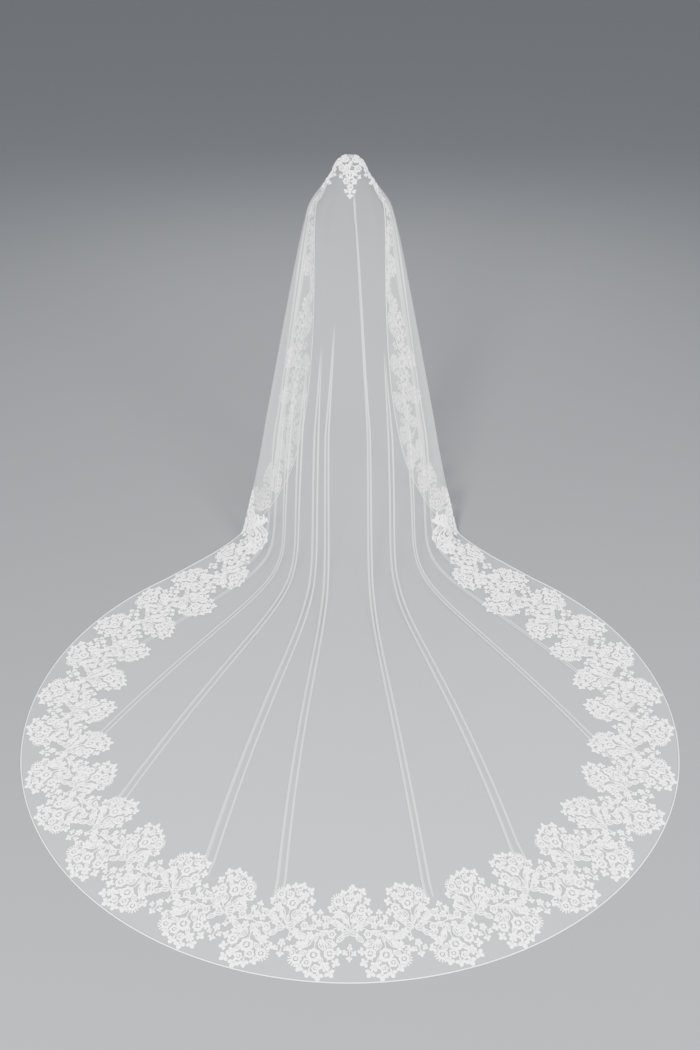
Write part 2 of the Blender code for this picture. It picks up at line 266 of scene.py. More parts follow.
def smooth_cloth():
    """The whole panel without its pleats: turns, levels and points (columns, rows, 3)."""
    turns, levels, half = half_grid()
    turns = np.concatenate([-turns[:0:-1], turns])
    points = np.concatenate([half[:0:-1] * (-1, 1, 1), half])
    first, last = FRONT_COLUMNS, FRONT_COLUMNS + 2 * HALF_COLUMNS
    blur(points, first, last, EASE_PASSES, np.interp(levels, EASE_LEVELS, (0, 1, 1, 0)))
    start, full, fading, end = LANDING_LEVELS
    landing = (smoothstep((levels - start) / (full - start))
               * smoothstep((end - levels) / (end - fading)))
    for _ in range(LANDING_PASSES):
        eased = points.copy()
        eased[:, 1:-1] = (points[:, :-2] + 2 * points[:, 1:-1] + points[:, 2:]) / 4
        points += (eased - points) * landing[None, :, None]
    for fold in (first, last):
        blur(points, fold - FOLD_REACH, fold + FOLD_REACH, FOLD_PASSES,
             np.interp(levels, FOLD_LEVELS, (0, 1, 1, 0)))
    normals = surface_normals(points)
    push = np.zeros(points.shape[:2])
    for top, bottom, start, end, height, width in RIDGES:
        share = np.clip((levels - start) / (end - start), 0, 1)
        fade = smoothstep(share * 5) * smoothstep((1 - share) * 4)
        fade = np.where((levels > start) & (levels < end), fade, 0)
        for r in np.nonzero(fade)[0]:
            at = top + (bottom - top) * share[r]
            run = run_of(points[:, r])
            off = (run - np.interp(at, turns, run)) / width
            push[:, r] += height * fade[r] * np.exp(-off * off)
    points = points + normals * push[..., None]
    points[..., 2] = np.maximum(points[..., 2], FLOOR)
    return turns, levels, points


TURNS, LEVELS, CLOTH = smooth_cloth()


# ---- the tulle with its pleats ---------------------------------------------------------
def pleat_state(pleat):
    """Turn, width and closedness of a pleat on every row."""
    shoulder, knee, lace, top_width, lace_width, begins, closed, opens, gone = pleat
    at = np.interp(LEVELS, (SHOULDER_AT, KNEE_AT, LACE_LEVEL), (shoulder, knee, lace))
    width = np.interp(LEVELS, (begins, KNEE_AT - 0.5, LACE_LEVEL),
                      (top_width, max(top_width, lace_width * PLEAT_WAIST), lace_width))
    shut = (smoothstep((LEVELS - begins) / (closed - begins))
            * smoothstep((gone - LEVELS) / (gone - opens)))
    return at, width, shut


def tulle_grid():
    """Columns of the whole panel with its pleats in it, as points (columns, rows, 3)."""
    states = [pleat_state(p) for p in PLEATS]
    section = np.array(PLEAT_SECTION)
    open_places = np.linspace(-0.5, 0.5, len(section))
    normals = surface_normals(CLOTH)
    share = np.interp([-1.0] + [p[2] for p in PLEATS] + [1.0], (-1, 1), (0, 2 * HALF_COLUMNS))
    plain_counts = [max(4, int(round(w * PLAIN_SHARE))) for w in np.diff(share)]
    rows = []
    for r in range(len(LEVELS)):
        run = run_of(CLOTH[:, r])
        places, lifts = [], []
        left = np.interp(-1.0, TURNS, run)
        starts, ends, inner = [], [], []
        centres = np.interp([at[r] for at, _, _ in states], TURNS, run)
        room = np.diff(centres).min() * PLEAT_SHARE
        for centre, (_, width, shut) in zip(centres, states):
            total = min(width[r] + PLEAT_ROOM, room)
            zig = section[:, 0] * width[r] + section[:, 1] * 0.001
            flat = open_places * total
            inner.append((centre + flat + (zig - flat) * shut[r],
                          section[:, 2] * PLEAT_LAYER * shut[r]))
            starts.append(inner[-1][0][0])
            ends.append(inner[-1][0][-1])
        edges = [left] + [v for pair in zip(starts, ends) for v in pair]
        edges.append(np.interp(1.0, TURNS, run))
        for k, count in enumerate(plain_counts):
            a, b = edges[2 * k], edges[2 * k + 1]
            places.append(a + (b - a) * np.arange(0 if k == 0 else 1, count) / count)
            lifts.append(np.zeros(len(places[-1])))
            if k < len(inner):
                places.append(inner[k][0])
                lifts.append(inner[k][1])
        places.append(np.array([edges[-1]]))
        lifts.append(np.zeros(1))
        places, lifts = np.concatenate(places), np.concatenate(lifts)
        points = along(CLOTH[:, r], run, places)
        outward = along(normals[:, r], run, places)
        front_left = CLOTH[:FRONT_COLUMNS, r]
        front_right = CLOTH[-FRONT_COLUMNS:, r]
        rows.append(np.concatenate([front_left, points + outward * lifts[:, None], front_right]))
    return np.stack(rows, axis=1)


def grid_triangles(columns, rows):
    """Triangles over a grid of columns by rows, facing out."""
    c, r = np.meshgrid(np.arange(columns - 1), np.arange(rows - 1), indexing="ij")
    a = (c * rows + r).ravel()
    b, d, e = a + 1, a + rows, a + rows + 1
    return np.concatenate([np.stack([a, b, e], -1), np.stack([a, e, d], -1)])


def new_piece(name, points, triangles, material, nodes, slot):
    mesh = bpy.data.meshes.new(name)
    mesh.from_pydata(points.tolist(), [], triangles.tolist())
    mesh.materials.append(material)
    mesh.shade_smooth()
    mesh.update()
    piece = bpy.data.objects.new(name, mesh)
    bpy.context.scene.collection.objects.link(piece)
    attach(piece, "root")
    if nodes:
        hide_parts(*nodes)
    return piece


# ---- materials -----------------------------------------------------------------------
def cloth_material(name, colour, dark, roughness, sheen, grain, depth, strength):
    """A woven finish: slightly uneven colour, and a fine thread grain as bump."""
    material = bpy.data.materials.new(name)
    material.use_nodes = True
    tree = material.node_tree
    shader = tree.nodes["Principled BSDF"]
    place = tree.nodes.new("ShaderNodeTexCoord")
    cloud = tree.nodes.new("ShaderNodeTexNoise")
    cloud.inputs["Scale"].default_value = 9.0
    cloud.inputs["Detail"].default_value = 3.0
    tint = tree.nodes.new("ShaderNodeMix")
    tint.data_type = "RGBA"
    tint.inputs[6].default_value = (*dark, 1.0)
    tint.inputs[7].default_value = (*colour, 1.0)
    thread = tree.nodes.new("ShaderNodeTexVoronoi")
    thread.inputs["Scale"].default_value = 1 / grain
    bump = tree.nodes.new("ShaderNodeBump")
    bump.inputs["Strength"].default_value = strength
    bump.inputs["Distance"].default_value = depth
    tree.links.new(place.outputs["Object"], cloud.inputs["Vector"])
    tree.links.new(place.outputs["Object"], thread.inputs["Vector"])
    tree.links.new(cloud.outputs["Fac"], tint.inputs[0])
    tree.links.new(tint.outputs[2], shader.inputs["Base Color"])
    tree.links.new(thread.outputs["Distance"], bump.inputs["Height"])
    tree.links.new(bump.outputs["Normal"], shader.inputs["Normal"])
    shader.inputs["Roughness"].default_value = roughness
    shader.inputs["Sheen Weight"].default_value = sheen
    shader.inputs["Specular IOR Level"].default_value = 0.2
    return material, shader


def sheer(material, shader, face_on, edge_on, power):
    """Thin net: its threads close up where it is seen along the cloth."""
    tree = material.node_tree
    facing = tree.nodes.new("ShaderNodeLayerWeight")
    facing.inputs["Blend"].default_value = 0.5
    steep = tree.nodes.new("ShaderNodeMath")
    steep.operation = "POWER"
    steep.inputs[1].default_value = power
    cover = tree.nodes.new("ShaderNodeMapRange")
    cover.inputs["To Min"].default_value = face_on
    cover.inputs["To Max"].default_value = edge_on
    tree.links.new(facing.outputs["Facing"], steep.inputs[0])
    tree.links.new(steep.outputs["Value"], cover.inputs["Value"])
    tree.links.new(cover.outputs["Result"], shader.inputs["Alpha"])


TULLE_LOOK, tulle_shader = cloth_material(
    "sheer tulle", colour=(0.96, 0.96, 0.95), dark=(0.90, 0.90, 0.90),
    roughness=0.55, sheen=0.25, grain=0.0018, depth=0.0001, strength=0.04)
sheer(TULLE_LOOK, tulle_shader, face_on=0.115, edge_on=0.55, power=6.0)
LACE_LOOK, _ = cloth_material(
    "corded lace", colour=(0.95, 0.95, 0.93), dark=(0.86, 0.86, 0.84),
    roughness=0.75, sheen=0.15, grain=0.0011, depth=0.0005, strength=0.4)
HEM_LOOK, hem_shader = cloth_material(
    "rolled hem", colour=(0.95, 0.95, 0.94), dark=(0.90, 0.90, 0.90),
    roughness=0.6, sheen=0.2, grain=0.0015, depth=0.0002, strength=0.3)
HEM_COVER = 0.75
hem_shader.inputs["Alpha"].default_value = HEM_COVER

# ---- camera, floor and light -----------------------------------------------------------
SENSOR_HEIGHT = 36.0
FOCAL_OVER_HEIGHT = 0.9152
CAMERA_PLACE = (0.0, -5.0, 1.28)
CAMERA_TILT = 54.6                  # degrees up from looking straight down
FLOOR_REACH = 300.0
FLOOR_DROP = 0.001                  # of the floor below the cloth that lies on it
FLOOR_COLOUR = (0.145, 0.15, 0.157, 1.0)
SKY_COLOUR = (0.92, 0.95, 1.0, 1.0)
# Soft lights
#    name    place               aimed at            size        watts
LIGHTS = (
    ("key",  (-2.4, -7.2, 2.6),  (0.0, -1.2, -1.1),  (1.8, 1.8), 1750),
    ("fill", (4.0, -4.6, 1.4),   (0.0, -1.4, -1.2),  (2.2, 2.2), 520),
    ("back", (0.0, 3.4, 2.6),    (0.0, -0.8, -1.0),  (3.2, 1.6), 260),
)

camera_data = bpy.data.cameras.new("camera")
camera_data.sensor_fit = "VERTICAL"
camera_data.sensor_height = SENSOR_HEIGHT
camera_data.lens = SENSOR_HEIGHT * FOCAL_OVER_HEIGHT
camera_data.clip_end = 3 * FLOOR_REACH
camera = bpy.data.objects.new("camera", camera_data)
camera.location = CAMERA_PLACE
camera.rotation_euler = (math.radians(CAMERA_TILT), 0.0, 0.0)
bpy.context.scene.collection.objects.link(camera)
bpy.context.scene.camera = camera

floor_mesh = bpy.data.meshes.new("floor")
floor_mesh.from_pydata([(x * FLOOR_REACH, y * FLOOR_REACH, FLOOR - FLOOR_DROP)
                        for x, y in ((-1, -1), (1, -1), (1, 1), (-1, 1))],
                       [], [(0, 1, 2, 3)])
floor = bpy.data.objects.new("floor", floor_mesh)
bpy.context.scene.collection.objects.link(floor)
floor_look = bpy.data.materials.new("floor")
floor_look.use_nodes = True
floor_shader = floor_look.node_tree.nodes["Principled BSDF"]
floor_shader.inputs["Base Color"].default_value = FLOOR_COLOUR
floor_shader.inputs["Roughness"].default_value = 0.9
floor_shader.inputs["Specular IOR Level"].default_value = 0.1
floor_mesh.materials.append(floor_look)

world = bpy.data.worlds.new("studio")
world.use_nodes = True
world.node_tree.nodes["Background"].inputs["Color"].default_value = SKY_COLOUR
world.node_tree.nodes["Background"].inputs["Strength"].default_value = 1.0
bpy.context.scene.world = world


def soft_light(name, place, target, size, power):
    data = bpy.data.lights.new(name, "AREA")
    data.shape = "RECTANGLE"
    data.size, data.size_y = size
    data.energy = power
    light = bpy.data.objects.new(name, data)
    light.location = place
    light.rotation_euler = (Vector(target) - Vector(place)).to_track_quat("-Z", "Y").to_euler()
    bpy.context.scene.collection.objects.link(light)


for light_row in LIGHTS:
    soft_light(*light_row)

# ---- the veil's tulle and its rolled hem -------------------------------------------------
GRID = tulle_grid()
tulle = new_piece("tulle_panel", GRID.reshape(-1, 3), grid_triangles(*GRID.shape[:2]),
                  TULLE_LOOK, ["veil_tulle"], "tulle")
tulle.data.set_sharp_from_angle(angle=math.radians(CREASE_FROM))


def tube(path, normals, radius, sides):
    """A tube along a path, as points and triangles, with its ends left open."""
    ahead = np.gradient(path, axis=0)
    ahead /= np.maximum(np.linalg.norm(ahead, axis=1, keepdims=True), 1e-12)
    side = np.cross(ahead, normals)
    side /= np.maximum(np.linalg.norm(side, axis=1, keepdims=True), 1e-12)
    up = np.cross(side, ahead)
    turn = np.arange(sides) * 2 * math.pi / sides
    ring = side[:, None] * np.cos(turn)[None, :, None] + up[:, None] * np.sin(turn)[None, :, None]
    points = path[:, None] + ring * radius
    n = len(path)
    i, k = np.meshgrid(np.arange(n - 1), np.arange(sides), indexing="ij")
    a = (i * sides + k).ravel()
    b = (i * sides + (k + 1) % sides).ravel()
    return points.reshape(-1, 3), np.concatenate([np.stack([a, b, b + sides], -1),
                                                  np.stack([a, b + sides, a + sides], -1)])


HEM_RADIUS = 0.0016
smooth_normals = surface_normals(CLOTH)
round_hem = np.concatenate([CLOTH[0, :-1], CLOTH[:, -1], CLOTH[-1, -2::-1], CLOTH[-2:0:-1, 0]])
hem_up = np.concatenate([smooth_normals[0, :-1], smooth_normals[:, -1],
                         smooth_normals[-1, -2::-1], smooth_normals[-2:0:-1, 0]])
round_hem = np.concatenate([round_hem, round_hem[:1]])
hem_up = np.concatenate([hem_up, hem_up[:1]])
round_hem[:, 2] = np.maximum(round_hem[:, 2], FLOOR + HEM_RADIUS)
rolled_hem = new_piece("rolled_hem", *tube(round_hem, hem_up, HEM_RADIUS, 6), HEM_LOOK, [], "tulle")


# ---- charts that carry flat lace onto the cloth -------------------------------------------
CHART_STEP = 0.01
BORDER_REACH = 0.56
TURN_REACH = 30                     # steps over which the inward direction is evened out
HEAD_REACH = 0.24
HEAD_DEPTH = 0.42


def right_border():
    """The right half of the outer edge, from the end of the train up to the centre of the
    head edge: distances along it, points, inward directions, and grid columns and rows."""
    centre = FRONT_COLUMNS + HALF_COLUMNS
    last, foot = CLOTH.shape[0] - 1, CLOTH.shape[1] - 1
    corners = ((centre, foot), (last, foot), (last, 0), (centre, 0))
    edge = np.concatenate([CLOTH[centre:, -1], CLOTH[-1, -2::-1], CLOTH[-2:centre - 1:-1, 0]])
    inner = np.concatenate([CLOTH[centre:, -3], CLOTH[-4, -2::-1], CLOTH[-2:centre - 1:-1, 2]])
    run = run_of(edge)
    even = np.arange(0, run[-1], CHART_STEP)
    points, inward = along(edge, run, even), along(inner, run, even) - along(edge, run, even)
    ahead = np.gradient(points, axis=0)
    ahead /= np.linalg.norm(ahead, axis=1, keepdims=True)
    inward -= ahead * (inward * ahead).sum(1, keepdims=True)
    inward /= np.linalg.norm(inward, axis=1, keepdims=True)
    padded = np.concatenate([np.repeat(inward[:1], TURN_REACH, 0), inward,
                             np.repeat(inward[-1:], TURN_REACH, 0)])
    kernel = np.hanning(2 * TURN_REACH + 3)[1:-1]
    inward = np.stack([np.convolve(padded[:, k], kernel / kernel.sum(), "valid")
                       for k in range(3)], -1)
    inward[0, 0] = inward[-1, 0] = 0.0
    counts = (0, last - centre, last - centre + foot, 2 * (last - centre) + foot)
    steps = np.interp(even, run, np.arange(len(run)))
    columns = np.interp(steps, counts, [c for c, _ in corners])
    rows = np.interp(steps, counts, [r for _, r in corners])
    return even, points, inward / np.linalg.norm(inward, axis=1, keepdims=True), columns, rows


def lattice(table, c, r):
    """Values of a grid table at places between its columns and rows."""
    c0 = np.minimum(c.astype(int), table.shape[0] - 2)
    r0 = np.minimum(r.astype(int), table.shape[1] - 2)
    u, v = (c - c0)[:, None], (r - r0)[:, None]
    return ((table[c0, r0] * (1 - u) + table[c0 + 1, r0] * u) * (1 - v)
            + (table[c0, r0 + 1] * (1 - u) + table[c0 + 1, r0 + 1] * u) * v)


def border_chart():
    """Points of the cloth by distance round its edge and distance in from it. All lines run
    straight in over the cloth together, a step at a time."""
    across, down = np.gradient(CLOTH, axis=0), np.gradient(CLOTH, axis=1)
    even, points, heading, c, r = right_border()
    steps = int(BORDER_REACH / CHART_STEP) + 1
    chart = [points]
    for _ in range(1, steps):
        for _ in range(2):
            ta, td = lattice(across, c, r), lattice(down, c, r)
            normal = np.cross(ta, td)
            normal /= np.maximum(np.linalg.norm(normal, axis=1, keepdims=True), 1e-12)
            heading = heading - normal * (heading * normal).sum(1, keepdims=True)
            heading /= np.maximum(np.linalg.norm(heading, axis=1, keepdims=True), 1e-12)
            step = heading * CHART_STEP / 2
            aa, dd, ad = (ta * ta).sum(1), (td * td).sum(1), (ta * td).sum(1)
            sa, sd = (ta * step).sum(1), (td * step).sum(1)
            area = np.maximum(aa * dd - ad * ad, 1e-14)
            c = np.clip(c + (sa * dd - sd * ad) / area, 0, CLOTH.shape[0] - 1)
            r = np.clip(r + (sd * aa - sa * ad) / area, 0, CLOTH.shape[1] - 1)
        chart.append(lattice(CLOTH, c, r))
    chart = np.stack(chart, axis=1)
    beyond = chart[:, :1] * 2 - chart[:, 1:3][:, ::-1]
    beyond[..., 2] = np.maximum(beyond[..., 2], FLOOR)
    chart = np.concatenate([beyond, chart], axis=1)
    left = chart[:0:-1] * (-1, 1, 1)
    return np.concatenate([left, chart]), even[-1]


def head_chart():
    """Points of the cloth over the back of the head, by distance to the side and down."""
    centre = FRONT_COLUMNS + HALF_COLUMNS
    rows = CLOTH[:, :KNEE_AT * SAMPLES]
    down = run_of(rows[centre])
    sideways = np.arange(-HEAD_REACH, HEAD_REACH + CHART_STEP / 2, CHART_STEP)
    chart = []
    for y in np.arange(0, HEAD_DEPTH, CHART_STEP):
        line = np.stack([[np.interp(y, down, rows[c, :, k]) for k in range(3)]
                         for c in range(FRONT_COLUMNS, FRONT_COLUMNS + 2 * HALF_COLUMNS + 1)])
        run = run_of(line)
        chart.append(along(line, run, run[HALF_COLUMNS] + sideways))
    return np.stack(chart, axis=1)


BORDER, BORDER_END = border_chart()
HEAD = head_chart()


def on_chart(chart, origin, points, lift, facing):
    """Carries flat points (x, y, height) onto a chart, raised outward by lift. facing is 1
    where the chart runs down the cloth, and -1 where it runs up it."""
    outward = surface_normals(chart) * facing
    i = np.clip((points[:, 0] - origin[0]) / CHART_STEP, 0, chart.shape[0] - 1.001)
    k = np.clip((points[:, 1] - origin[1]) / CHART_STEP, 0, chart.shape[1] - 1.001)
    i0, k0 = i.astype(int), k.astype(int)
    u, v = (i - i0)[:, None], (k - k0)[:, None]

    def blend(table):
        return ((table[i0, k0] * (1 - u) + table[i0 + 1, k0] * u) * (1 - v)
                + (table[i0, k0 + 1] * (1 - u) + table[i0 + 1, k0 + 1] * u) * v)

    return blend(chart) + blend(outward) * (points[:, 2:3] + lift)


# ---- lace motifs, flat, at full size ---------------------------------------------------
def fan_over(rings, steps):
    """Triangles between rings of steps points each."""
    k, s = np.meshgrid(np.arange(rings - 1), np.arange(steps), indexing="ij")
    a = (k * steps + s).ravel()
    b = (k * steps + (s + 1) % steps).ravel()
    return np.concatenate([np.stack([a, a + steps, b + steps], -1), np.stack([a, b + steps, b], -1)])


def bloom(rings, petals, cut, steps):
    """A round flower of unit radius. Each ring is a radius, a height and how deeply the
    notches between the petals cut it."""
    turn = np.arange(steps) * 2 * math.pi / steps
    notch = 1 - np.abs(np.cos(petals * turn / 2)) ** 0.8
    points = [np.stack([radius * (1 - cut * share * notch) * np.cos(turn),
                        radius * (1 - cut * share * notch) * np.sin(turn),
                        np.full(steps, height)], -1) for radius, height, share in rings]
    return np.concatenate(points), fan_over(len(rings), steps)


def cord_strip(path, width, height):
    """A raised cord lying along a flat path."""
    path = np.asarray(path, float)
    ahead = np.gradient(path, axis=0)
    ahead /= np.maximum(np.linalg.norm(ahead, axis=1, keepdims=True), 1e-12)
    side = np.stack([-ahead[:, 1], ahead[:, 0]], -1) * width / 2
    width_points = [path + side, path, path - side]
    points = np.stack([np.concatenate([p, np.full((len(p), 1), h)], -1)
                       for p, h in zip(width_points, (0.0, height, 0.0))], axis=1).reshape(-1, 3)
    a = np.arange(len(path) - 1) * 3
    faces = [np.stack([a + k, a + k + 3, a + k + 4], -1) for k in (0, 1)]
    faces += [np.stack([a + k, a + k + 4, a + k + 1], -1) for k in (0, 1)]
    return points, np.concatenate(faces)


def together(parts):
    points, faces, count = [], [], 0
    for p, f in parts:
        points.append(p)
        faces.append(f + count)
        count += len(p)
    return np.concatenate(points), np.concatenate(faces)


def turned(part, x, y, size, degrees):
    """A flat part scaled, turned and moved."""
    points, faces = part
    a = math.radians(degrees)
    out = points.copy()
    out[:, 0] = x + size * (points[:, 0] * math.cos(a) - points[:, 1] * math.sin(a))
    out[:, 1] = y + size * (points[:, 0] * math.sin(a) + points[:, 1] * math.cos(a))
    return out, faces


def petal(length, width, height):
    """A pointed oval petal from the origin along +x, domed."""
    side = [(0.25, 0.38), (0.55, 0.5), (0.85, 0.3)]
    edge = [(0.0, 0.0)] + side + [(1.0, 0.0)] + [(x, -y) for x, y in side[::-1]]
    points = [(x * length, y * width, 0.0) for x, y in edge] + [(0.55 * length, 0.0, height)]
    faces = [(8, k, (k + 1) % 8) for k in range(8)]
    return np.array(points), np.array(faces)


CORD = 0.0030                       # width of the outlining cord
CORD_HEIGHT = 0.0016
HEART = ((0.03, 0.0, 0.0), (0.14, 0.0034, 0.0), (0.25, 0.0, 0.3))
RIM = ((0.52, 0.0, 0.4), (0.62, 0.0036, 0.5), (0.71, 0.0008, 0.7), (0.84, 0.0034, 0.9),
       (1.0, 0.0, 1.0))
ROSE = together([bloom(HEART, 3, 0.3, 12), bloom(RIM, 7, 0.18, 28)])
SMALL_ROSE = together([bloom(HEART, 3, 0.3, 12), bloom(RIM, 6, 0.22, 24)])
FLOWER = together([bloom(((0.10, 0.0, 0.0), (0.18, 0.0028, 0.0), (0.28, 0.0, 0.2)), 5, 0.2, 15),
                   bloom(((0.36, 0.0, 0.4), (0.48, 0.0026, 0.7), (0.70, 0.0010, 0.9),
                          (0.88, 0.0030, 1.0), (1.0, 0.0, 1.0)), 5, 0.52, 30)])
FRINGE = together([ROSE] + [turned(petal(0.62, 0.24, 0.0016), 0.9 * math.cos(math.radians(a)),
                                   0.9 * math.sin(math.radians(a)), 1.0, a)
                            for a in (-100, -78, -57, -36, -12, 12, 34, 58, 80, 102)])
BUD = together([turned(petal(1.1, 0.86, 0.0022), 0.1, 0.0, 1.0, 0),
                turned(petal(0.95, 0.72, 0.0019), 0.0, 0.12, 1.0, 72),
                turned(petal(0.95, 0.72, 0.0019), 0.0, -0.12, 1.0, -72),
                turned(petal(0.8, 0.34, 0.0014), -0.75, 0.0, 1.0, 0)])


def leaf(length, width, bend):
    """An open leaf: a cord round it, a midrib and side veins, along +x from its middle."""
    t = np.linspace(0, 1, 9)
    spine = np.stack([(t - 0.5) * length, bend * length * (t - t * t) * 4], -1)
    half = np.sin(np.pi * t ** 0.85) ** 0.8 * width / 2
    upper, lower = spine + np.stack([0 * t, half], -1), spine - np.stack([0 * t, half], -1)
    parts = [cord_strip(upper, CORD, CORD_HEIGHT), cord_strip(lower, CORD, CORD_HEIGHT),
             cord_strip(spine, CORD * 0.8, CORD_HEIGHT * 0.9)]
    for k in (2, 4, 6):
        for rim in (upper, lower):
            start, end = spine[k - 1], rim[k + 1]
            parts.append(cord_strip([start, (start + end) / 2, end], CORD * 0.55, CORD_HEIGHT * 0.6))
    return together(parts)


def motif(kind, x, y, size, degrees):
    """One motif. Cords keep their own width whatever the motif's size."""
    if kind == "leaf":
        return turned(leaf(size, size * 0.52, 0.07), x, y, 1.0, degrees)
    return turned({"rose": ROSE, "small rose": SMALL_ROSE, "fringed": FRINGE,
                   "flower": FLOWER, "bud": BUD}[kind], x, y, size, degrees)


def stem(x0, y0, x1, y1, bend):
    """A curved cord from one place to another."""
    t = np.linspace(0, 1, 7)[:, None]
    a, b = np.array([x0, y0]), np.array([x1, y1])
    middle = (a + b) / 2 + np.array([-(b - a)[1], (b - a)[0]]) * bend
    return cord_strip(a * (1 - t) ** 2 + middle * 2 * t * (1 - t) + b * t * t, CORD * 0.9, CORD_HEIGHT)


# A fan of lace from its joint at the origin towards +y, at full size.
#    kind          x       y      size    turn
FAN = (
    ("rose",        0.002, 0.082, 0.0260,  10),
    ("small rose", -0.017, 0.112, 0.0170,  50),
    ("fringed",    -0.056, 0.106, 0.0200, 145),
    ("rose",        0.056, 0.070, 0.0215,  40),
    ("flower",      0.047, 0.117, 0.0190,  15),
    ("flower",     -0.052, 0.056, 0.0190,  80),
    ("small rose",  0.018, 0.128, 0.0150,   0),
    ("bud",        -0.004, 0.144, 0.0180, 100),
    ("bud",         0.028, 0.150, 0.0200,  80),
    ("bud",         0.064, 0.136, 0.0185,  50),
    ("bud",         0.078, 0.100, 0.0170,  20),
    ("bud",        -0.036, 0.132, 0.0160, 115),
    ("bud",        -0.078, 0.076, 0.0160, 165),
    ("bud",         0.082, 0.060, 0.0150,  -5),
    ("leaf",        0.026, 0.042, 0.0420,  65),
    ("leaf",       -0.024, 0.040, 0.0420, 112),
    ("leaf",       -0.034, 0.084, 0.0300, 125),
    ("leaf",        0.032, 0.100, 0.0280,  70),
    ("leaf",        0.054, 0.032, 0.0400,  28),
    ("leaf",       -0.060, 0.024, 0.0400, 158),
    ("leaf",        0.000, 0.020, 0.0300,  92),
)
FAN_STEMS = (
    # from x   y      to x    y      bend
    (0.000, 0.000,  -0.056, 0.106,  0.12),
    (0.000, 0.000,   0.056, 0.070, -0.14),
    (0.000, 0.000,   0.002, 0.082,  0.05),
    (0.000, 0.000,  -0.052, 0.056, -0.12),
    (0.002, 0.082,   0.047, 0.117,  0.10),
    (0.002, 0.100,  -0.002, 0.158,  0.08),
    (0.018, 0.120,   0.034, 0.154, -0.10),
    (0.047, 0.117,   0.070, 0.140,  0.10),
    (0.056, 0.085,   0.084, 0.104, -0.12),
    (-0.030, 0.110, -0.034, 0.148,  0.10),
    (-0.052, 0.056, -0.086, 0.066,  0.10),
    (0.056, 0.070,   0.087, 0.062,  0.10),
    (0.030, 0.040,   0.054, 0.098, -0.10),
    (-0.030, 0.030, -0.062, 0.080, -0.10),
)
# The joint between an inner fan at the origin and the next outer fan, along +x.
JOINT = (
    ("flower",      0.040, 0.014, 0.0170,  30),
    ("small rose",  0.072, -0.012, 0.0165,  0),
    ("flower",      0.098, 0.020, 0.0150,  75),
    ("leaf",        0.020, -0.010, 0.0380, -20),
    ("leaf",        0.062, 0.026, 0.0360,   18),
    ("leaf",        0.102, -0.006, 0.0340, 160),
    ("leaf",        0.040, -0.030, 0.0340, -40),
    ("leaf",        0.086, 0.040, 0.0300,   55),
    ("bud",         0.022, 0.036, 0.0120,   60),
    ("bud",         0.104, -0.038, 0.0120, -60),
    ("bud",         0.064, 0.050, 0.0120,   80),
    ("bud",         0.062, -0.046, 0.0120, -85),
)
JOINT_STEMS = (
    (0.000, 0.000,  0.060, 0.010,  0.25),
    (0.060, 0.010,  0.125, 0.000, -0.25),
    (0.040, 0.014,  0.064, 0.050, -0.15),
    (0.072, -0.012, 0.062, -0.046, 0.15),
    (0.020, 0.004,  0.022, 0.036,  0.10),
    (0.100, -0.004, 0.104, -0.038, 0.10),
)
# A small spray of three buds, from its foot at the origin towards +y.
SPRAY = (
    ("bud",         0.000, 0.042, 0.0135,   90),
    ("bud",         0.017, 0.024, 0.0115,   40),
    ("bud",        -0.017, 0.024, 0.0115,  140),
    ("flower",      0.000, 0.006, 0.0150,   20),
)
SPRAY_STEMS = ((0.000, -0.010, 0.000, 0.042, 0.05),)
# A single sprig, for the shoulders.
SPRIG = (
    ("small rose",  0.000, 0.036, 0.0190,   0),
    ("bud",         0.002, 0.068, 0.0130,   88),
    ("bud",         0.028, 0.050, 0.0125,   35),
    ("bud",        -0.028, 0.052, 0.0125,  150),
    ("leaf",        0.026, 0.018, 0.0320,   25),
    ("leaf",       -0.026, 0.018, 0.0320,  155),
)
SPRIG_STEMS = ((-0.040, 0.004, 0.000, 0.036, -0.2), (0.000, 0.036, 0.040, 0.004, -0.2))


def layout(motifs, stems):
    return together([motif(*row) for row in motifs] + [stem(*row) for row in stems])


PATTERNS = {"fan": layout(FAN, FAN_STEMS), "joint": layout(JOINT, JOINT_STEMS),
            "spray": layout(SPRAY, SPRAY_STEMS), "sprig": layout(SPRIG, SPRIG_STEMS)}


LEAST_RELIEF = 0.6                  # scale of the height, however small a pattern is


def placed(name, x, y, size, depth=None, up=True, flip=False, tilt=0.0):
    """A pattern on the border: depth is its scale inward, up points it inward, flip mirrors it."""
    points, faces = PATTERNS[name]
    points, faces = turned((points, faces), 0.0, 0.0, 1.0, tilt)
    scale = (size * (-1 if flip else 1), (depth or size) * (1 if up else -1), max(size, LEAST_RELIEF))
    return points * scale + (x, y, 0.0), faces


FAN_PITCH = 0.25
INNER_JOINT = 0.190                 # from the hem to the joints of the inner fans
OUTER_JOINT = 0.172                 # and of the outer ones
# Scale of the border along the edge and inward, and of the width of its fans, by distance
# round the edge from the end of the train.
BORDER_SCALE = (
    # at    along  inward  fans
    (0.0,   1.00,  1.00,   1.00),
    (3.0,   1.00,  1.00,   1.00),
    (3.35,  0.90,  0.80,   0.95),
    (3.6,   0.80,  0.55,   0.95),
    (3.9,   0.85,  0.65,   0.95),
    (4.2,   0.90,  0.90,   0.90),
    (4.4,   0.90,  1.05,   0.80),
    (4.7,   0.95,  1.28,   0.76),
    (4.95,  0.95,  1.12,   0.76),
    (5.15,  0.92,  0.90,   0.76),
    (5.35,  0.88,  0.78,   0.78),
    (5.58,  0.70,  0.62,   0.85),
)
FULL_BORDER_TO = 5.05
FANS_TO = 5.52
OUTER_DEPTH = 0.98                  # scale outward of the outer fans, against the inner ones
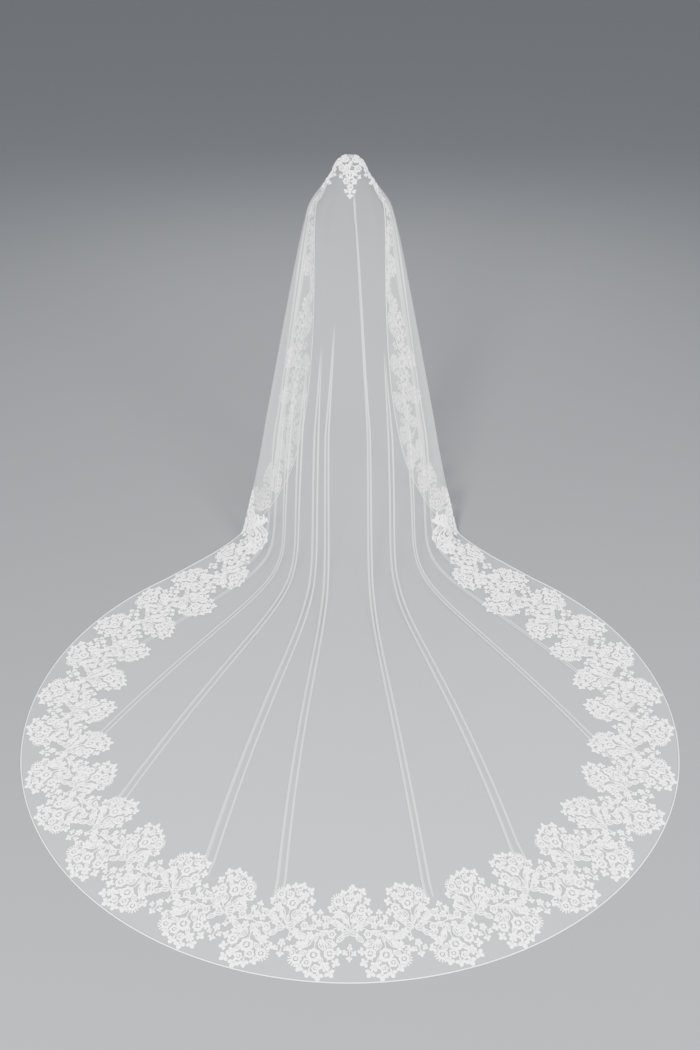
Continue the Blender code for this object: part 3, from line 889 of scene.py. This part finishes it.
# Where the border is a single row of fans: its joints, their scale inward, and its sprigs.
SHALLOW_JOINT = 0.035
SHALLOW_JOINT_DEPTH = 0.8
SHALLOW_SPRIG = 1.1
INNER_SPRAY_GAP = 0.062             # from the joint of an inner fan out to its spray
OUTER_SPRAY_GAP = 0.030             # from the joint of an outer fan in to its spray
SWAY = 5                            # degrees that a fan leans at most
SPRIG_SWAY = 12
# Single sprigs: distance in from the edge, scale along it and scale inward.
SHOULDER_SPRIG = (0.014, 0.80, 0.95)
HEAD_SPRIG = (0.004, 0.85, 0.80)
SHOULDER_SPRIGS = (5.60, 5.68, 5.76)
HEAD_SPRIG_START = 5.83
HEAD_SPRIG_PITCH = 0.058
HEAD_FROM = SHOULDER_SPRIGS[-1] + 0.03
jitter = np.random.default_rng(7)


def scale_at(a):
    rows = np.array(BORDER_SCALE)
    return [np.interp(a, rows[:, 0], rows[:, k]) for k in (1, 2, 3)]


def border_parts(side):
    """Lace of one side, as (distance round the edge, part). side is 1 for right, -1 for left."""
    found = []

    def put(name, a, y, size, depth, up, flip, tilt):
        found.append((a, placed(name, side * a, y, size, depth, up, flip != (side < 0), tilt)))

    a, fan = 0.0, 0
    while a < FANS_TO:
        size, depth, broad = scale_at(a)
        sway = jitter.uniform(-SWAY, SWAY, 3)
        ahead = a + FAN_PITCH * size
        full = a < FULL_BORDER_TO
        inner = (INNER_JOINT if full else SHALLOW_JOINT) * depth
        if side > 0 or fan > 0:
            put("fan", a, inner, size * broad, depth, True, fan % 2 == 1, sway[0])
            if full:
                put("spray", a, (INNER_JOINT - INNER_SPRAY_GAP) * depth, size, depth,
                    False, False, sway[1])
        middle = (a + ahead) / 2
        if full:
            outer = OUTER_JOINT * depth
            put("fan", middle, outer, size * broad, depth * OUTER_DEPTH, False, fan % 2 == 0, sway[1])
            put("spray", middle, outer + OUTER_SPRAY_GAP * depth, size, depth, True, False, sway[2])
            put("joint", a, (inner + outer) / 2, size, depth, True, False, 0)
            put("joint", ahead, (inner + outer) / 2, size, depth, False, True, 0)
        else:
            put("sprig", middle, 0.0, size * SHALLOW_SPRIG, depth, True, False, sway[1])
            put("joint", a, inner, size, depth * SHALLOW_JOINT_DEPTH, True, False, 0)
            put("joint", ahead, inner, size, depth * SHALLOW_JOINT_DEPTH, True, True, 0)
        a, fan = ahead, fan + 1
    for a in SHOULDER_SPRIGS:
        put("sprig", a, *SHOULDER_SPRIG, True, False, jitter.uniform(-SPRIG_SWAY, SPRIG_SWAY))
    for a in np.arange(HEAD_SPRIG_START, BORDER_END, HEAD_SPRIG_PITCH):
        put("sprig", a, *HEAD_SPRIG, True, False, jitter.uniform(-SPRIG_SWAY, SPRIG_SWAY))
    return found


# The point of lace at the back of the head: distance to the side, and down from the edge.
HEAD_POINT = (
    #  kind         x       y      size    turn
    ("rose",        0.000, 0.206, 0.0230,   0),
    ("rose",       -0.040, 0.172, 0.0205,  30),
    ("rose",        0.041, 0.176, 0.0205,  60),
    ("flower",     -0.012, 0.166, 0.0170,  20),
    ("small rose", -0.020, 0.238, 0.0160,   0),
    ("flower",      0.021, 0.240, 0.0165,  45),
    ("small rose",  0.001, 0.266, 0.0160,  10),
    ("bud",         0.000, 0.304, 0.0150,  90),
    ("bud",        -0.018, 0.282, 0.0115, 115),
    ("bud",         0.019, 0.284, 0.0115,  65),
    ("bud",        -0.044, 0.214, 0.0120, 140),
    ("bud",         0.045, 0.218, 0.0120,  40),
    ("leaf",       -0.024, 0.196, 0.0300, 130),
    ("leaf",        0.025, 0.200, 0.0300,  50),
    ("leaf",        0.000, 0.286, 0.0240,  90),
    ("rose",       -0.024, 0.118, 0.0210,  10),
    ("rose",        0.030, 0.122, 0.0210,  10),
    ("flower",     -0.054, 0.138, 0.0170,  40),
    ("flower",      0.060, 0.142, 0.0170,  70),
    ("small rose", -0.030, 0.078, 0.0160,  10),
    ("small rose",  0.034, 0.080, 0.0160,  20),
    ("leaf",        0.004, 0.146, 0.0280, 100),
    ("leaf",       -0.058, 0.104, 0.0280, 200),
    ("leaf",        0.062, 0.106, 0.0280, -20),
    ("rose",       -0.070, 0.138, 0.0213,   15),
    ("rose",        0.074, 0.142, 0.0213,   35),
    ("small rose", -0.094, 0.178, 0.0185,    0),
    ("small rose",  0.096, 0.182, 0.0185,    0),
    ("flower",     -0.114, 0.214, 0.0185,   25),
    ("flower",      0.116, 0.216, 0.0185,   55),
    ("small rose", -0.136, 0.246, 0.0168,    0),
    ("small rose",  0.138, 0.248, 0.0168,    0),
    ("bud",        -0.158, 0.276, 0.0151,  130),
    ("bud",         0.160, 0.278, 0.0151,   50),
    ("bud",        -0.084, 0.206, 0.0123,  110),
    ("bud",         0.086, 0.208, 0.0123,   70),
    ("bud",        -0.112, 0.250, 0.0123,  110),
    ("bud",         0.114, 0.252, 0.0123,   70),
    ("leaf",       -0.084, 0.156, 0.0291,  140),
    ("leaf",        0.086, 0.160, 0.0291,   40),
    ("leaf",       -0.126, 0.226, 0.0291,  140),
    ("leaf",        0.128, 0.228, 0.0291,   40),
)
HEAD_STEMS = (
    (0.000, 0.120,  0.000, 0.304,  0.02),
    (0.000, 0.160, -0.040, 0.172,  0.20),
    (0.000, 0.160,  0.041, 0.176, -0.20),
    (0.000, 0.200, -0.044, 0.214,  0.20),
    (0.000, 0.200,  0.045, 0.218, -0.20),
    (-0.024, 0.118, -0.084, 0.138, 0.10),
    (0.030, 0.122,  0.088, 0.142, -0.10),
    (-0.070, 0.138, -0.158, 0.276, 0.06),
    (0.074, 0.142,  0.160, 0.278, -0.06),
)

LACE_LIFT = 0.0006                  # of the lace off the cloth
TRAIN_PIECES = (-HEM_TO_FOLD, -1.8, 0.0, 1.8, HEM_TO_FOLD)


def lace_piece(name, parts, nodes):
    points, faces = together(parts)
    flat_half = (BORDER.shape[0] - 1) / 2 * CHART_STEP
    placed_points = on_chart(BORDER, (-flat_half, -2 * CHART_STEP), points, LACE_LIFT, -1)
    return new_piece(name, placed_points, faces, LACE_LOOK, nodes, "lace")


sides = {1: border_parts(1), -1: border_parts(-1)}
signed = [(side * a, part) for side in (1, -1) for a, part in sides[side]]
for k, (low, high) in enumerate(zip(TRAIN_PIECES, TRAIN_PIECES[1:])):
    lace_piece(f"train_border_{k + 1}",
                            [part for a, part in signed if low <= a < high], ["lace_train"])
lace_piece("front_border_left",
                        [part for a, part in signed if -HEAD_FROM <= a < -HEM_TO_FOLD],
                        ["lace_front_left"])
lace_piece("front_border_right",
                        [part for a, part in signed if HEM_TO_FOLD <= a < HEAD_FROM],
                        ["lace_front_right"])
lace_piece("head_border",
                        [part for a, part in signed if abs(a) >= HEAD_FROM], ["lace_crown"])
points, faces = layout(HEAD_POINT, HEAD_STEMS)
new_piece("head_point", on_chart(HEAD, (-HEAD_REACH, 0.0), points, LACE_LIFT, 1),
                       faces, LACE_LOOK, ["lace_crown"], "lace")
